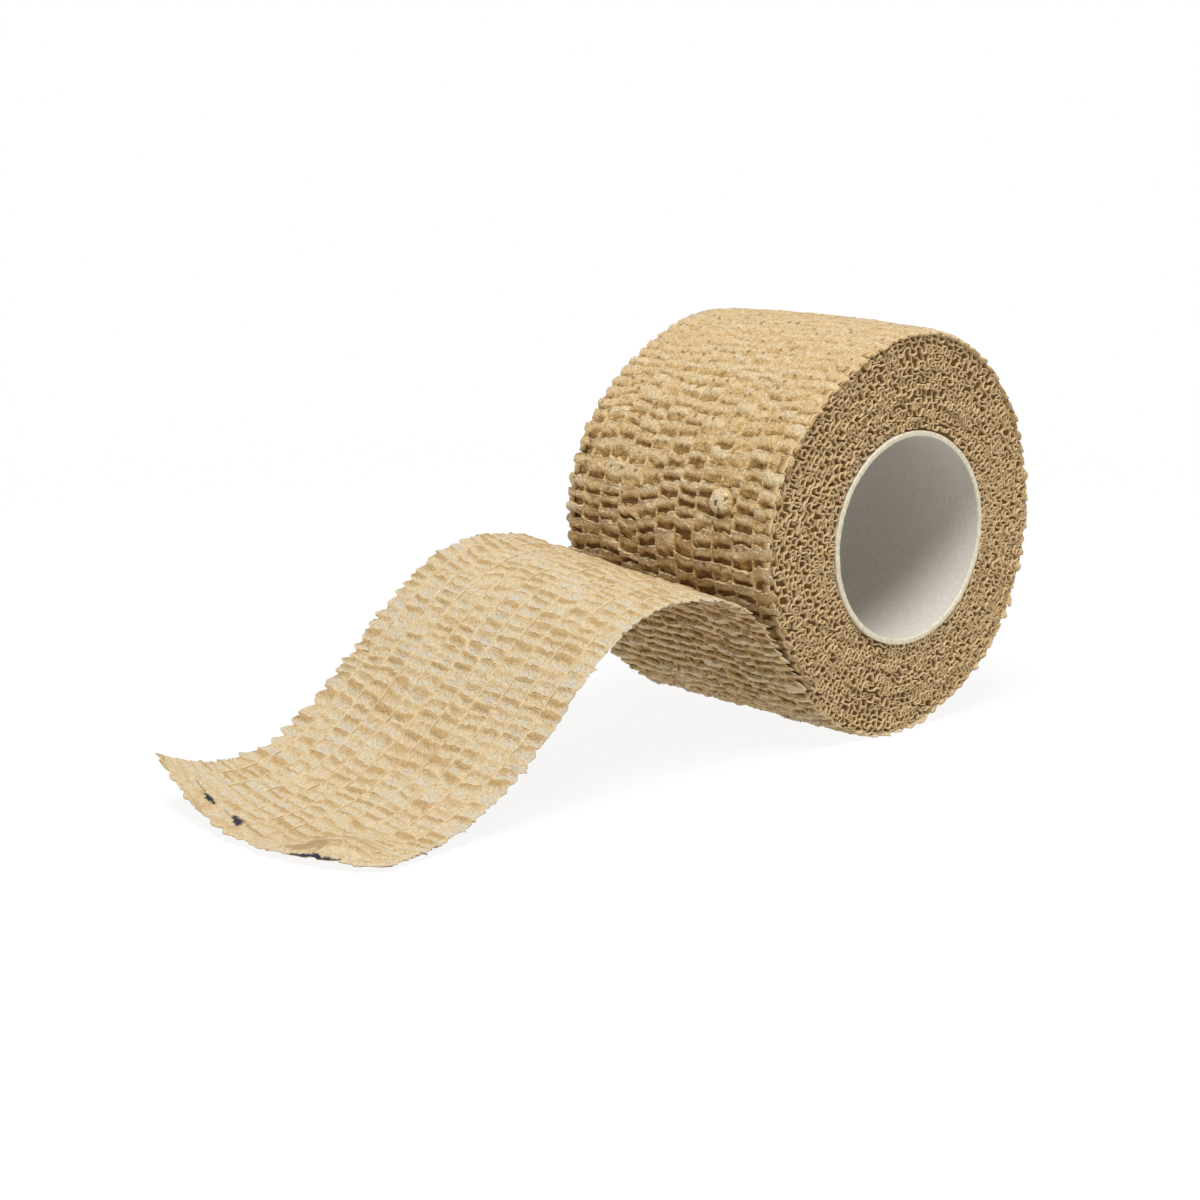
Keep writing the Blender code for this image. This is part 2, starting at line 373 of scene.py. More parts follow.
def soft_noise(x, y, seed):
    """Random values from -1 to 1 at whole numbers of x and y, blended smoothly between."""
    side = 256
    lattice = np.random.default_rng(seed).uniform(-1.0, 1.0, (side, side))
    x, y = np.broadcast_arrays(x, y)
    column, row = np.floor(x).astype(int), np.floor(y).astype(int)
    along, up = smooth_step(x - column), smooth_step(y - row)
    left, right, low, high = column % side, (column + 1) % side, row % side, (row + 1) % side
    below = lattice[left, low] * (1 - along) + lattice[right, low] * along
    above = lattice[left, high] * (1 - along) + lattice[right, high] * along
    return below * (1 - up) + above * up


def pillows_of_column(along, across, column, width):
    """The ridges of one column of pillows: (rise, slide, tooth, fold).

    The ridge number is the place along the strip over the pitch, bent by noises: two slow
    ones and a fine one that all the columns share, and one of the column's own. Either side
    of each whole number lies a ragged, flat-bottomed slit whose half width is drawn for it,
    and which narrows by the factor width towards the threads. The share of the pitch is
    stretched so that the slit's two ends come at 1/4 and 3/4 of it. There S-curves lift the
    face to its crown, an arch that is a little higher on the second side by LEAN. The first
    flank is gentle. The second is steep, helped by the slide, with a raised brim before it
    and a crease behind it. tooth falls evenly from the middle of the crown to 0 in the slit,
    and its height is drawn for each ridge. fold is the slit seen from behind, where it is a
    soft bump of a drawn height: it goes up in FOLD_RISE of the pitch, and comes down over
    FOLD_FALL of it to a drawn end.
    """
    ridge = (
        along / RIDGE_PITCH
        + 0.50 * soft_noise(along / 15.0, across / 12.0, 3)
        + 0.26 * soft_noise(along / 5.5, across / 6.0, 4)
        + 0.44 * soft_noise(along / 5.0, column * 7.3 + 0.5, 5)
        + 0.12 * soft_noise(along / 1.6, across / 1.2, 6)
    )
    draw = np.random.default_rng(7).uniform(0.0, 1.0, (4, RIDGE_TABLE, THREAD_COUNT + 1))
    number = np.floor(ridge).astype(int)
    share = ridge - number
    here, following = number % RIDGE_TABLE, (number + 1) % RIDGE_TABLE
    slit = np.round(ridge).astype(int) % RIDGE_TABLE
    ragged = SLIT_RAGGED * soft_noise(along / 0.9, across / 0.55, 11)
    start = (SLIT_START[0] + SLIT_START[1] * draw[0][here, column]) * width + ragged
    stop = (SLIT_STOP[0] + SLIT_STOP[1] * draw[0][following, column]) * width - ragged
    start, stop = np.maximum(start, SLIT_LEAST), np.maximum(stop, SLIT_LEAST)
    on_crown = 0.25 + 0.5 * (share - start) / (1 - stop - start)
    before_crown = share < start
    after_crown = share > 1 - stop
    spread = np.where(after_crown, 1 - 0.25 * (1 - share) / stop, on_crown)
    spread = np.where(before_crown, 0.25 * share / start, spread)

    lifted = smooth_step((STEEP_FLANK[0] - spread) / STEEP_FLANK[1] + 0.5)
    lifted = lifted * smooth_step((spread - GENTLE_FLANK[0]) / GENTLE_FLANK[1] + 0.5)
    from_middle = np.abs(spread - 0.5)
    crest = CREST[0] + CREST[1] * draw[1][here, column]
    lean = LEAN * (spread - 0.5) / 0.25
    crown = crest * (1 - CREST_DROP * (from_middle / 0.25) ** 2 + lean)
    crown = crown + BRIM[2] * hump(spread, *BRIM[:2])
    bottom = BOTTOM[0] + BOTTOM[1] * draw[2][slit, column] ** 2
    rise = bottom + np.maximum(crown - bottom, 0.0) * lifted
    rise = rise - CREASE[2] * hump(spread, *CREASE[:2]) * (1 - bottom)
    slide = SLIDE * np.sin(4 * np.pi * spread) * (1 - bottom) * (spread > 0.5)
    tooth = (1 - 2 * from_middle) * (0.7 + 0.6 * draw[3][here, column])

    begun = ridge + 0.25 + 0.6 * ragged
    since = begun - np.floor(begun)
    folded = np.floor(begun).astype(int) % RIDGE_TABLE
    height = FOLD_HEIGHT[0] + FOLD_HEIGHT[1] * draw[1][folded, column]
    end = FOLD_END[0] + FOLD_END[1] * draw[2][folded, column]
    fold = height * smooth_step(since / FOLD_RISE) * smooth_step((end - since) / FOLD_FALL)
    return rise, slide, tooth, fold


def from_thread(across):
    """How far each point of the strip is from the thread nearest to it, across the strip."""
    place = across / THREAD_PITCH + (THREAD_COUNT + 1) / 2
    return (place - np.clip(np.round(place), 1, THREAD_COUNT)) * THREAD_PITCH


def crinkle(along, across):
    """The crepe's relief at each point of the strip: (rise, slide, reach, tooth, fold).

    rise is the outer face's height over the bottom of its slits, as a share of CREPE_DEPTH.
    slide and reach move the point along the strip and across it. Two columns of pillows
    meet over a quarter of a millimetre at each thread, which pinches the ridges and bridges
    the slits with a thin line. Finer noises roughen it all. The strip's two edges are ragged,
    with a torn tag here and there. tooth and fold are those of pillows_of_column.
    """
    place = across / THREAD_PITCH + (THREAD_COUNT + 1) / 2
    thread = np.clip(np.round(place), 1, THREAD_COUNT).astype(int)
    beside = from_thread(across)
    mix = smooth_step(beside / COLUMNS_MEET + 0.5)
    width = 0.74 + 0.26 * np.abs(np.sin(np.pi * place)) ** 0.6
    rise, slide, tooth, fold = (
        before * (1 - mix) + after * mix
        for before, after in zip(
            pillows_of_column(along, across, thread - 1, width),
            pillows_of_column(along, across, thread, width),
        )
    )
    rise = rise * (1 - THREAD_PINCH[1] * hump(beside, 0.0, THREAD_PINCH[0]))
    rise = np.maximum(rise, THREAD_RISE * hump(beside, 0.0, THREAD_LINE))
    rise = rise + 0.22 * soft_noise(along / 0.8, across / 1.4, 8) * (0.4 + 0.6 * rise)
    rise = rise + 0.10 * soft_noise(along / 0.4, across / 0.8, 9)

    side = np.where(across > 0, 400.0, 0.0)
    tag = np.maximum(soft_noise(along / 0.55, side + 0.5, 10) - 0.72, 0.0) / 0.28
    ragged = 0.5 * (tooth - 0.6) + 0.26 * soft_noise(along / 0.5, side + 3.5, 10) + 0.7 * tag
    reach = np.sign(across) * ragged * at_edge(np.abs(across), 1.2)
    return rise, slide, reach, tooth, fold


def across_rows():
    """The places across the strip of a mesh's rows, with a row on each thread."""
    place = (np.arange(THREAD_COUNT + 1)[:, None] + ROWS_IN_PITCH).ravel()
    across = (place - (THREAD_COUNT + 1) / 2) * THREAD_PITCH
    inside = np.abs(across) < STRIP_WIDTH / 2 - 0.1
    return np.concatenate([[-STRIP_WIDTH / 2], across[inside], [STRIP_WIDTH / 2]])


def wander(along, across):
    """How far the threads stray across the strip, which fades out at its edges."""
    stray = 0.22 * soft_noise(along / 14.0, across / 6.0, 12)
    return stray * smooth_step((STRIP_WIDTH / 2 - np.abs(across)) / 3.0)


# The crepe's look. Sizes are millimetres.
PATCH_SIZE = 1.1
PATCH_SPREAD = 1.3
FIBRE_SIZE = 0.34
FIBRE_CONTRAST = (0.36, 0.64)
WRINKLE_SIZE = 0.95
WRINKLE_HALF_WIDTH = 0.07
HOLE_SPACING = 1.45
HOLE_STRETCH = (1.0, 0.7, 0.0)
HOLE_OUTLINE = (0.08, 0.20)
HOLE_DRAW = (0.2, 0.8)
HOLE_COVER = 0.9
# Painted shade: the dark brown down inside each punched hole.
HOLE_SHADE_COLOUR = "#8C6D43"
HOLE_DEPTH = -0.5


def crepe_cloth(name, colours, patchy, holes, grain, wrinkles, speckle):
    """Matt non-woven crepe, coloured by its relief: browner down in the folds, which is partly the
    web's own tone and partly painted shade.

    colours are (place on the ramp, colour) from the bottom of a slit to the crest, and
    patchy is how far a noise shifts the place. The eye sees short fibres as a faint speckle
    a third of a millimetre across, fine wrinkles where a slow noise crosses its middle
    value, and, where holes is above 0, the small holes that the web is punched with, which
    are painted dark brown as the shade down inside them.
    """
    material, tree, shader = new_material(
        name, Roughness=0.82, Specular_IOR_Level=0.25, Sheen_Weight=0.12, Sheen_Roughness=0.5
    )
    relief = add_node(tree, "ShaderNodeAttribute", attribute_name="relief").outputs["Fac"]
    patches = object_noise(tree, PATCH_SIZE, 3.0)
    shade = calculate(tree, "MULTIPLY_ADD", patches, patchy, relief)
    shade = remap(tree, shade, patchy / 3, patchy / 3 + PATCH_SPREAD)
    fibres = object_noise(tree, FIBRE_SIZE, 2.0)
    fleck = remap(tree, fibres, *FIBRE_CONTRAST, *speckle)
    paint = mix_colours(tree, 1.0, colour_ramp(tree, shade, colours), fleck, "MULTIPLY")

    strip = add_node(tree, "ShaderNodeUVMap", uv_map="strip").outputs["UV"]
    widened, _ = calculate_vector(tree, "MULTIPLY", strip, HOLE_STRETCH)
    inputs = {"Vector": widened, "Scale": 1 / HOLE_SPACING, "Randomness": 1.0}
    dots = add_node(tree, "ShaderNodeTexVoronoi", inputs, voronoi_dimensions="2D")
    draw = add_node(tree, "ShaderNodeSeparateColor", {"Color": dots.outputs["Color"]})
    hole = remap(tree, dots.outputs["Distance"], *HOLE_OUTLINE, holes, 0.0)
    punched = remap(tree, draw.outputs["Red"], *HOLE_DRAW, 0.0, HOLE_COVER)
    hole = calculate(tree, "MULTIPLY", hole, punched)
    paint = mix_colours(tree, hole, paint, linear(HOLE_SHADE_COLOUR))
    tree.links.new(paint, shader.inputs["Base Color"])

    from_middle = calculate(tree, "SUBTRACT", object_noise(tree, WRINKLE_SIZE, 1.0), 0.5)
    beside = calculate(tree, "ABSOLUTE", from_middle)
    wrinkle = remap(tree, beside, 0.0, WRINKLE_HALF_WIDTH, wrinkles, 0.0)
    height = calculate(tree, "ADD", fibres, wrinkle)
    height = calculate(tree, "MULTIPLY_ADD", hole, HOLE_DEPTH, height)
    emboss(tree, height, 1.0, grain)
    return material


# On the outer face the ramp goes dark brown down in the slits: painted shade, over a slightly
# darker tone of the web itself.
outer_crepe = crepe_cloth(
    "crepe_outer_face",
    colours=((0.15, "#775428"), (0.31, "#A5814A"), (0.46, "#CAA972"), (0.85, "#D8C29C")),
    patchy=0.75,
    holes=1.0,
    grain=0.13,
    wrinkles=0.60,
    speckle=(0.80, 1.10),
)
# On the inner face the ramp's tan on the folds is partly the cloth's tone and partly painted shade,
# and its pale grey on the flats is painted light showing through the thin cloth.
inner_crepe = crepe_cloth(
    "crepe_inner_face",
    colours=((0.18, "#B89969"), (0.38, "#C5AA7F"), (0.60, "#CFBA94"), (0.85, "#C7BCA6")),
    patchy=0.60,
    holes=0.0,
    grain=0.08,
    wrinkles=0.80,
    speckle=(0.87, 1.07),
)


MARK_GRAIN = 1.3
MARK_BREAKS = 2.2
MARK_OUTLINE = (1.75, 2.25)
# Painted shade: the dark brown in the dome's holes, and in a thin line near its bottom.
DOME_HOLES = (
    # along, across, half_along, half_across, slant, hex_colour, strength
    (-131.2, -9.3, 0.42, 0.30, 0.0, "#6F5430", 1.0),
    (-130.5, -10.8, 0.30, 0.24, 0.0, "#7A5E38", 0.9),
    (-132.3, -9.9, 0.16, 0.34, 0.1, "#7A5E38", 0.8),
)
# Ink rubbed into the cloth near its cut end, and, in the last row, painted shade beside the buckle.
INK_SMUDGES_AND_BUCKLE_SHADE = (
    # along, across, half_along, half_across, slant, hex_colour, strength
    (86.8, 12.8, 0.18, 2.2, -0.10, "#7E705E", 0.7),
    (87.2, 10.3, 0.50, 1.15, -0.10, "#20242F", 1.0),
    (86.9, 6.4, 0.20, 1.8, -0.20, "#8C8272", 0.6),
    (87.0, 3.9, 0.62, 1.25, -0.25, "#262B38", 1.0),
    (86.9, 0.2, 0.26, 3.0, -0.10, "#9C7B58", 0.6),
    (89.5, -11.5, 0.62, 3.2, 0.05, "#1E2130", 1.0),
    # Painted shade: the brown where the raised buckle shades the cloth beside it.
    (86.9, -9.2, 1.60, 3.3, 0.10, "#A07E4E", 0.75),
)


def paint_marks_and_shade(material, marks):
    """Marks painted on the cloth, each an ellipse on the strip with a broken outline: ink rubbed
    into it near the cut end, and painted shade in the dome's holes and beside the buckle.

    slant tilts it: how far it moves along the strip for each millimetre across.
    """
    tree = material.node_tree
    shader = tree.nodes["Principled BSDF"]
    paint = shader.inputs["Base Color"].links[0].from_socket
    strip = add_node(tree, "ShaderNodeUVMap", uv_map="strip").outputs["UV"]
    place = add_node(tree, "ShaderNodeSeparateXYZ", {"Vector": strip})
    inputs = {"Vector": strip, "Scale": MARK_GRAIN, "Detail": 3.0}
    breaks = add_node(tree, "ShaderNodeTexNoise", inputs)
    for along, across, half_along, half_across, slant, colour, strength in marks:
        shift = slant * across - along
        level = calculate(tree, "MULTIPLY_ADD", place.outputs["Y"], -slant, shift)
        up = calculate(tree, "ADD", place.outputs["X"], level)
        aside = calculate(tree, "SUBTRACT", place.outputs["Y"], across)
        offset = add_node(tree, "ShaderNodeCombineXYZ", {"X": up, "Y": aside, "Z": 0.0})
        halves = (1 / half_along, 1 / half_across, 0.0)
        in_halves, _ = calculate_vector(tree, "MULTIPLY", offset.outputs[0], halves)
        _, far = calculate_vector(tree, "LENGTH", in_halves)
        broken = calculate(tree, "MULTIPLY_ADD", breaks.outputs["Fac"], MARK_BREAKS, far)
        cover = remap(tree, broken, *MARK_OUTLINE, strength, 0.0)
        paint = mix_colours(tree, cover, paint, linear(colour))
    tree.links.new(paint, shader.inputs["Base Color"])


paint_marks_and_shade(inner_crepe, INK_SMUDGES_AND_BUCKLE_SHADE)
# The dome's holes on the outer face are painted shade.
paint_marks_and_shade(outer_crepe, DOME_HOLES)


# --- The wound web ----------------------------------------------------------------------
# The outermost turn of the strip goes once round the roll, from the line where the loose
# end leaves it, and shows its outer face. Its two edges turn in over the turn below.

WEB_STEP = 0.145
WEB_STEP_UNSEEN = 0.30
SEEN_FROM_DEG = 415.0
FLAT_FROM_DEG = 256.0
FLAT_TO_DEG = 277.0
FLAT_FADE_DEG = 5.0
PRESSED = 0.8
UNDER_LOOSE_DEG = 552.0
# The top is pulled smoother than the rest, and the right a little. level is the rise that
# the ridges there are drawn towards.
PULLED_SMOOTH = (
    # from_deg, fade_in, to_deg, fade_out, share, level
    (395.0, 30.0, 548.0, 100.0, 0.66, 0.78),
    (262.0, 20.0, 405.0, 30.0, 0.35, 0.70),
)
THREAD_TINT = 0.32
EDGE_ROUNDING = 1.7
EDGE_EVENNESS = 0.15
NEAR_EDGE_DROP = 0.38
FAR_EDGE_DROP = 0.15
NEAR_EDGE_FLARE = 0.18
TOP_CROWN = 0.5
TOP_DEG = 440.0
TOP_HALF_DEG = 38.0
DOME_PLACE = (-130.96, -9.5)
DOME_HALF_SIZE = (1.60, 1.95)
DOME_FOOT = 0.55
DOME_HEIGHT = 0.72
DOME_MOAT = (1.13, 0.15, 0.65)  # middle and reach, in the dome's half sizes, and depth
LIP_ROWS = (
    # down, inwards
    (0.20, 0.02),
    (0.34, 0.30),
    (0.55, 1.60),
)

outline_deg, outline_radius = np.array(ROLL_OUTLINE).T


def outline_point(turn, inset):
    """(x, z) at that angle, in degrees, and that far inside the roll's outline."""
    radius = smooth_curve(turn, outline_deg, outline_radius) - inset
    angle = np.radians(turn)
    return radius * np.cos(angle), AXIS_HEIGHT + radius * np.sin(angle)


def round_the_roll():
    """(along, turn) pairs round the outermost turn. along is 0 at the peel line, and grows."""
    turn = np.linspace(PEEL_DEG + 360.0 - STEP_DEG, PEEL_DEG, 6000)
    x, z = outline_point(turn, CREPE_DEPTH)
    steps = np.hypot(np.diff(x), np.diff(z))
    along = np.concatenate([[0.0], np.cumsum(steps)])
    return along - along[-1], turn


def with_dome(rise, along, across):
    """The relief with its one round blister, an ellipse's dome with a moat around it."""
    up, aside = along - DOME_PLACE[0], across - DOME_PLACE[1]
    from_dome = np.hypot(up / DOME_HALF_SIZE[0], aside / DOME_HALF_SIZE[1])
    dome = DOME_FOOT + DOME_HEIGHT * np.sqrt(np.clip(1 - from_dome**2, 0.0, 1.0))
    dome = dome + 0.10 * (rise - 0.5)
    rise = rise * (1 - DOME_MOAT[2] * hump(from_dome, *DOME_MOAT[:2]))
    return rise + (dome - rise) * smooth_step((1.0 - from_dome) / 0.10)


def wound_web():
    """The outermost turn: the outline less the crepe's depth, plus its rise."""
    fine_along, fine_turn = round_the_roll()
    step = np.where(fine_turn > SEEN_FROM_DEG, WEB_STEP, WEB_STEP_UNSEEN)
    number = np.concatenate([[0.0], np.cumsum(np.diff(fine_along) / step[1:])])
    columns = int(number[-1])
    along = np.interp(np.linspace(0.0, number[-1], columns), number, fine_along)[:, None]
    row = across_rows()[None, :]
    across = row + wander(along, row)
    rise, slide, reach, tooth, _ = crinkle(along, row)

    turn = np.interp(along[:, 0], fine_along, fine_turn)[:, None]
    for start, fade_in, stop, fade_out, share, level in PULLED_SMOOTH:
        pulled = smooth_step((turn - start) / fade_in) * smooth_step((stop - turn) / fade_out)
        rise = rise + share * pulled * (level - rise)
    rise = with_dome(rise, along, across)
    pressed = smooth_step((turn - FLAT_FROM_DEG) / FLAT_FADE_DEG + 1)
    pressed = pressed * smooth_step((FLAT_TO_DEG - turn) / FLAT_FADE_DEG + 1)
    rise = rise * (1 - PRESSED * pressed) + PRESSED * pressed
    relief = rise + THREAD_TINT * hump(from_thread(row), 0.0, THREAD_LINE) * (1 - rise)
    rise = rise * (1 - 0.35 * smooth_step((turn - UNDER_LOOSE_DEG) / 12.0))
    # The edges are rounded off, except where the roll stands, and the top bulges in its middle.
    rounded = at_edge(np.abs(row), EDGE_ROUNDING)
    drop = np.where(row < 0, NEAR_EDGE_DROP, FAR_EDGE_DROP) * (1 - 0.6 * pressed)
    rise = rise + rounded * (EDGE_EVENNESS * (0.75 - rise) - drop / CREPE_DEPTH * rounded)
    at_top = hump(turn, TOP_DEG, TOP_HALF_DEG)
    rise = rise + TOP_CROWN / CREPE_DEPTH * at_top * (1 - (row / (STRIP_WIDTH / 2)) ** 2)

    # The slides fade out at the turn's two ends.
    inside = smooth_step((along - along[0]) / 1.5) * smooth_step((along[-1] - along) / 0.8)
    turn = np.interp(along + slide * inside, fine_along, fine_turn)
    across = across + reach - NEAR_EDGE_FLARE * at_edge(-row, 1.4) * (tooth - 0.45)

    # Each edge's last row is copied for its lip, and the copies go down and inwards.
    lips = len(LIP_ROWS)
    lip_down, lip_inwards = np.array(LIP_ROWS).T
    level_rows = np.zeros(across.shape[1])
    down = np.concatenate([lip_down[::-1], level_rows, lip_down])
    inwards = np.concatenate([lip_inwards[::-1], level_rows, -lip_inwards])
    turn, rise, relief, across = (
        np.pad(a, ((0, 0), (lips, lips)), mode="edge") for a in (turn, rise, relief, across)
    )
    x, z = outline_point(turn, CREPE_DEPTH * (1 - rise) + down)
    points = together(x, across + inwards, np.maximum(z, 0.0))
    rows = points.shape[1]
    place = together(along, across).reshape(-1, 2)
    return new_piece(
        "wound_web",
        points.reshape(-1, 3),
        grid_quads(columns, rows),
        [outer_crepe],
        fields={"relief": relief},
        maps={"strip": place, "OFBake": unit_map(columns, rows)},
    )


web = wound_web()
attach(web, "root")
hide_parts("wound_roll")


# --- The layer edges --------------------------------------------------------------------
# Each side of the roll is the cut edge of its sixteen or so turns of crepe, seen end on: one
# long spiral ribbon that meanders because it is crinkled, with small pits between its turns.

TUBE_RADIUS = 14.1
TURNS = 16.5
FIRST_LAYER = 0.15
MEAN_OUTER_RADIUS = 25.5
EDGE_STEP = 0.103
EDGE_HALF_THICKNESS = 0.092
MEANDER_HALF_WAVE = 0.74
MEANDER_RADIAL = 0.34
MEANDER_ALONG = 0.22
EDGE_INSET = 0.15
UNDER_WEB = 0.62
EDGE_DEPTH = 1.25
RIBBON_SECTION = (
    # aside in half thicknesses, out, relief
    (-1.3, -EDGE_DEPTH, 0.0),
    (-1.0, -0.10, 0.75),
    (0.0, 0.0, 1.0),
    (1.0, -0.10, 0.75),
    (1.3, -EDGE_DEPTH, 0.0),
)
GROUND_DEPTH = 0.75
GROUND_INSET = 0.75
GROUND_OVERLAP = 0.3
GROUND_COLUMNS = 240
GROUND_ROWS = 8


def layer_radius(layer, turn):
    """The radius of a turn: the tube's at 0, the outline's at TURNS, and even between.

    The outline is taken as the spiral's own end, so the outermost turn lies on it.
    """
    bore = TUBE_RADIUS + 0.05
    outer = smooth_curve(turn, outline_deg, outline_radius) - CREPE_DEPTH * 0.6
    own_end = TURNS / (TURNS - (turn - PEEL_DEG) / 360.0)
    return bore + (outer - bore) * own_end * layer / TURNS


# The cut edge of crepe, coloured by its relief: paler on its lip, and brown down in the pits
# between turns and on the ground behind them, which is painted shade.
cut_edges, edge_tree, edge_shader = new_material(
    "crepe_cut_edges", Roughness=0.85, Specular_IOR_Level=0.2
)
edge_relief = add_node(edge_tree, "ShaderNodeAttribute", attribute_name="relief")
edge_fibres = object_noise(edge_tree, 0.4, 2.0)
edge_shade = calculate(edge_tree, "MULTIPLY_ADD", edge_fibres, 0.5, edge_relief.outputs["Fac"])
edge_stops_with_painted_shade = ((0.30, "#806541"), (0.75, "#B6976A"), (1.0, "#D2B78B"))
edge_paint = colour_ramp(edge_tree, edge_shade, edge_stops_with_painted_shade)
edge_tree.links.new(edge_paint, edge_shader.inputs["Base Color"])
emboss(edge_tree, edge_fibres, 0.4, 0.08)


def spiral_ribbon(side, seed):
    """The ribbon's points, a RIBBON_SECTION at each step of its centre line, and their relief.

    The centre line swings in and out by a sine whose half wave is uneven, and runs back on
    itself by a sine of twice that rate. It stays under the outermost turn.
    """
    mean_length = np.pi * 2 * (TUBE_RADIUS + MEAN_OUTER_RADIUS) / 2
    count = int(TURNS * mean_length / EDGE_STEP)
    # Equal steps along the spiral: the layer number grows as the root of the length.
    root = np.sqrt(np.linspace(TUBE_RADIUS**2, MEAN_OUTER_RADIUS**2, count))
    layer = (root - TUBE_RADIUS) / (MEAN_OUTER_RADIUS - TUBE_RADIUS)
    layer = FIRST_LAYER + layer * (TURNS - FIRST_LAYER)
    turn = PEEL_DEG + 360.0 * ((TURNS - layer) % 1.0)
    radius = layer_radius(layer, turn)
    run = np.arange(count) * EDGE_STEP

    coarse = 0.92 + 0.42 * layer / TURNS
    half_wave = MEANDER_HALF_WAVE * coarse * (1 + 0.78 * soft_noise(run / 1.1, 0.5, seed))
    phase = np.cumsum(np.pi * EDGE_STEP / half_wave)
    swing = MEANDER_RADIAL * coarse * (1 + 0.95 * soft_noise(run / 0.9, 2.5, seed + 10))
    swing = swing * (0.35 + 0.65 * smooth_step((TURNS - layer) / 1.2)) * smooth_step(layer + 0.6)
    radius = radius + swing * np.sin(phase) + 0.20 * soft_noise(run / 0.45, 1.5, seed + 20)
    radius = radius + 0.3 * soft_noise(radius / 2.5, turn / 14.0, seed + 30)
    under_web = smooth_curve(turn, outline_deg, outline_radius) - UNDER_WEB
    radius = np.minimum(radius, under_web + 0.12 * np.sin(phase))
    back = -MEANDER_ALONG * coarse * np.sin(2 * phase)
    back = back * (1 + 0.9 * soft_noise(run / 1.4, 4.5, seed))
    angle = np.radians(turn) - back / radius
    line = np.stack([radius * np.cos(angle), AXIS_HEIGHT + radius * np.sin(angle)], -1)

    ahead = np.gradient(line, axis=0)
    ahead /= np.maximum(np.linalg.norm(ahead, axis=-1, keepdims=True), 1e-6)
    outward = np.stack([-ahead[:, 1], ahead[:, 0]], -1)
    lift = 0.20 * soft_noise(run / 0.7, 3.5, seed) + 0.25 * soft_noise(run / 3.1, 5.5, seed + 5)
    proud = STRIP_WIDTH / 2 - EDGE_INSET + lift
    half = EDGE_HALF_THICKNESS * (1 + 0.35 * soft_noise(run / 0.6, 6.5, seed))
    points, relief = [], []
    for aside, out, height in RIBBON_SECTION:
        at = line + outward * (half * aside)[:, None]
        points.append(np.stack([at[:, 0], side * (proud + out), at[:, 1]], -1))
        relief.append(np.full(count, height))
    return np.stack(points, 1), np.stack(relief, 1)


def layer_edges(name, side):
    """The spiral ribbon on one side of the roll, and the ground behind it, painted dark brown as
    the shade down in its pits.

    side is -1 for the near face and 1 for the far one.
    """
    points, relief = spiral_ribbon(side, seed=30 + side)
    quads = grid_quads(*relief.shape)
    turn = np.linspace(PEEL_DEG + 360.0 - STEP_DEG, PEEL_DEG, GROUND_COLUMNS)[:, None]
    low = TUBE_RADIUS - GROUND_OVERLAP
    high = smooth_curve(turn, outline_deg, outline_radius) - GROUND_INSET
    radius = low + (high - low) * np.linspace(0.0, 1.0, GROUND_ROWS)[None, :]
    x, z = radius * np.cos(np.radians(turn)), AXIS_HEIGHT + radius * np.sin(np.radians(turn))
    ground = together(x, side * (STRIP_WIDTH / 2 - GROUND_DEPTH), z).reshape(-1, 3)
    quads = np.concatenate([quads, grid_quads(GROUND_COLUMNS, GROUND_ROWS) + relief.size])
    points = np.concatenate([points.reshape(-1, 3), ground])
    relief = np.concatenate([relief.ravel(), np.zeros(len(ground))])
    if side > 0:
        quads = quads[:, ::-1]
    points[:, 2] = np.maximum(points[:, 2], 0.05)
    return new_piece(name, points, quads, [cut_edges], fields={"relief": relief})


for name, side in (("near_layer_edges", -1), ("far_layer_edges", 1)):
    edges = layer_edges(name, side)
    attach(edges, "root")
    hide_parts("wound_roll")


# --- The loose end ----------------------------------------------------------------------
# The last stretch of the strip leaves the roll low on its left, arches over, and comes
# down to the table. Its upper face is the web's inner one, where the rubber threads show.

LOOSE_STEP = 0.212
LOOSE_END = (
    # near_x, near_z, far_x, far_z, shift_y, curl
    (-22.5, 12.3, -22.5, 12.4, 0.0, 1.0),
    (-25.9, 16.4, -25.8, 17.1, 0.0, 1.0),
    (-28.9, 19.6, -28.6, 21.3, 0.0, 1.0),
    (-32.9, 21.8, -32.6, 24.3, 0.0, 1.0),
    (-38.6, 23.0, -38.2, 25.7, 0.0, 1.0),
    (-44.8, 22.8, -44.7, 25.4, 0.0, 1.0),
    (-50.6, 20.5, -50.8, 23.1, 0.0, 1.0),
    (-56.5, 15.9, -57.1, 18.2, 0.0, 1.0),
    (-62.5, 9.8, -63.2, 12.5, 0.0, 1.0),
    (-68.9, 4.9, -69.3, 7.3, -0.1, 1.1),
    (-75.8, 1.7, -76.5, 3.9, -0.7, 1.5),
    (-83.0, 0.7, -84.0, 3.6, -1.7, 2.6),
    (-91.5, 0.7, -95.8, 7.6, -2.8, 5.0),
)
END_CUT = (
    # width_share, short_by
    (-1.00, 5.9),
    (-0.90, 2.9),
    (-0.72, 0.9),
    (-0.35, -0.9),
    (0.10, -0.4),
    (0.60, 1.3),
    (1.00, 2.6),
)
CUT_REACH = 16.0
BUCKLE_HEIGHT = 1.7
BUCKLE_FROM_END = 4.5
BUCKLE_WIDTH_SHARE = -0.62
BUCKLE_LENGTH = 3.6
BUCKLE_BREADTH_SHARE = 0.2
CALM_LENGTH = 9.0
GATHERED_LENGTH = 58.0
GATHER = 0.22
THREAD_HOLD = 0.45
THINNEST = 0.09
INNER_DEPTH = 0.38
INNER_LEVEL = -0.38
MIDDLE_HEIGHT = 0.30
RUFFLED_LENGTH = 30.0
FREE_FROM = 14.0
RUFFLE_HEIGHT = 1.7
LOBE_LENGTH = 1.45

